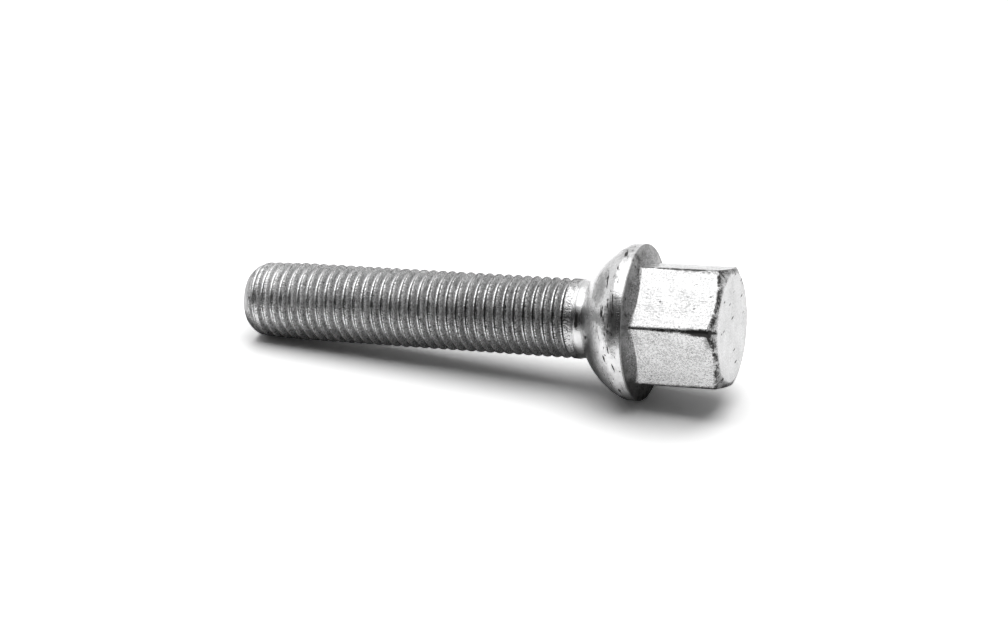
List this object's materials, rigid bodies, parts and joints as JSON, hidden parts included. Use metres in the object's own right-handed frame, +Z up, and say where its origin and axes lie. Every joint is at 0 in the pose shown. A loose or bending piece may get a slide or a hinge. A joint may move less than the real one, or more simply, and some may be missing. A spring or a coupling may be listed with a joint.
{
  "type": "wheel bolt",
  "caption": "One-piece steel wheel bolt with a long fine-thread shank, a ball-seat collar and a hexagon head, lying at rest on its collar rim and thread tip.",
  "frame": {"origin": "centre of the ball seat's sphere, on the bolt's axis, 11.88 mm above the floor that the bolt lies on", "axes": "+Z up from the floor. The bolt's axis lies in the XZ plane and points from the tip to the head, towards +X, rising 5.62 degrees, the lean at which the bolt rests on its collar rim and thread tip. +Y completes the frame."},
  "size_m": [0.0764, 0.023, 0.023],
  "materials": {
    "zinc_steel": "bright zinc plate, satin, handled"
  },
  "bodies": {
    "root": {"wheel_bolt": "zinc_steel"}
  },
  "joints": []
}
